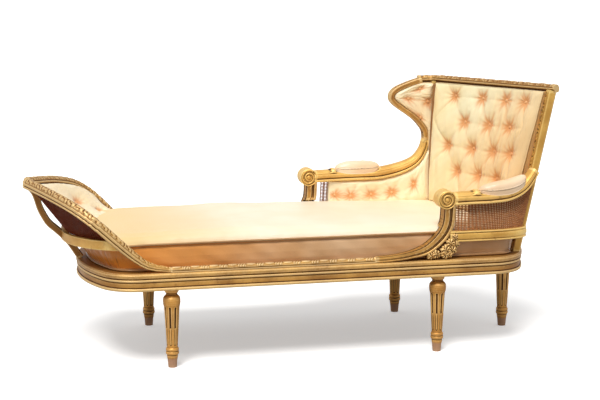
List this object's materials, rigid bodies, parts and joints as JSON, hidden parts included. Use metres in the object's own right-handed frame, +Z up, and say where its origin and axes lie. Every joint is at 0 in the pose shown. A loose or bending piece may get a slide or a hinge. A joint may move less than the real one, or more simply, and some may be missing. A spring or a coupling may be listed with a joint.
{
  "type": "recamier",
  "caption": "Long seat on turned legs with a scooped foot end, one winged corner, arms of unequal length and a tufted back.",
  "frame": {"origin": "middle of the footprint on the floor", "axes": "+X from the foot end towards the back, +Z up, the short arm on the -Y side"},
  "size_m": [1.9239, 0.7024, 0.9686],
  "materials": {
    "gilt_wood": "worn gilding over carved wood, satin",
    "bare_wood": "unfinished beech",
    "cane": "stained woven cane",
    "satin": "cream satin with a soft sheen",
    "buttons": "satin-covered buttons",
    "deck_cloth": "plain woven linen"
  },
  "bodies": {
    "root": {"seat_rail_near": "gilt_wood", "seat_rail_far": "gilt_wood", "seat_rail_foot": "gilt_wood", "seat_rail_head": "gilt_wood", "ribbon_band_near": "gilt_wood", "ribbon_band_far": "gilt_wood", "rail_dowels": "bare_wood", "deck_slats": "bare_wood", "deck_panel": "deck_cloth", "leg_near_foot": "gilt_wood", "leg_near_head": "gilt_wood", "leg_far_foot": "gilt_wood", "leg_far_head": "gilt_wood", "leg_head_centre": "gilt_wood", "leg_dowels": "bare_wood", "mattress": "satin", "foot_rim_near": "gilt_wood", "foot_rim_far": "gilt_wood", "foot_knot": "gilt_wood", "foot_post": "gilt_wood", "foot_band": "gilt_wood", "foot_cane_near": "cane", "foot_cane_far": "cane", "foot_pad": "satin", "foot_buttons": "buttons", "arm_near": "gilt_wood", "arm_far": "gilt_wood", "volute_near": "gilt_wood", "volute_far": "gilt_wood", "arm_post_near": "gilt_wood", "arm_post_far": "gilt_wood", "acanthus_near": "gilt_wood", "acanthus_far": "gilt_wood", "arm_band_near": "gilt_wood", "arm_band_far": "gilt_wood", "arm_cane_near": "cane", "arm_cane_far": "cane", "arm_pad_near": "satin", "arm_pad_far": "satin", "side_pad_near": "satin", "side_pad_far": "satin", "side_buttons": "buttons", "stile_near": "gilt_wood", "stile_far": "gilt_wood", "crest_rail": "gilt_wood", "back_bottom_rail": "gilt_wood", "back_cane": "cane", "back_cushion": "satin", "back_buttons": "buttons", "wing_frame": "gilt_wood", "wing_cane": "cane", "wing_pad": "satin", "wing_buttons": "buttons"}
  },
  "joints": []
}
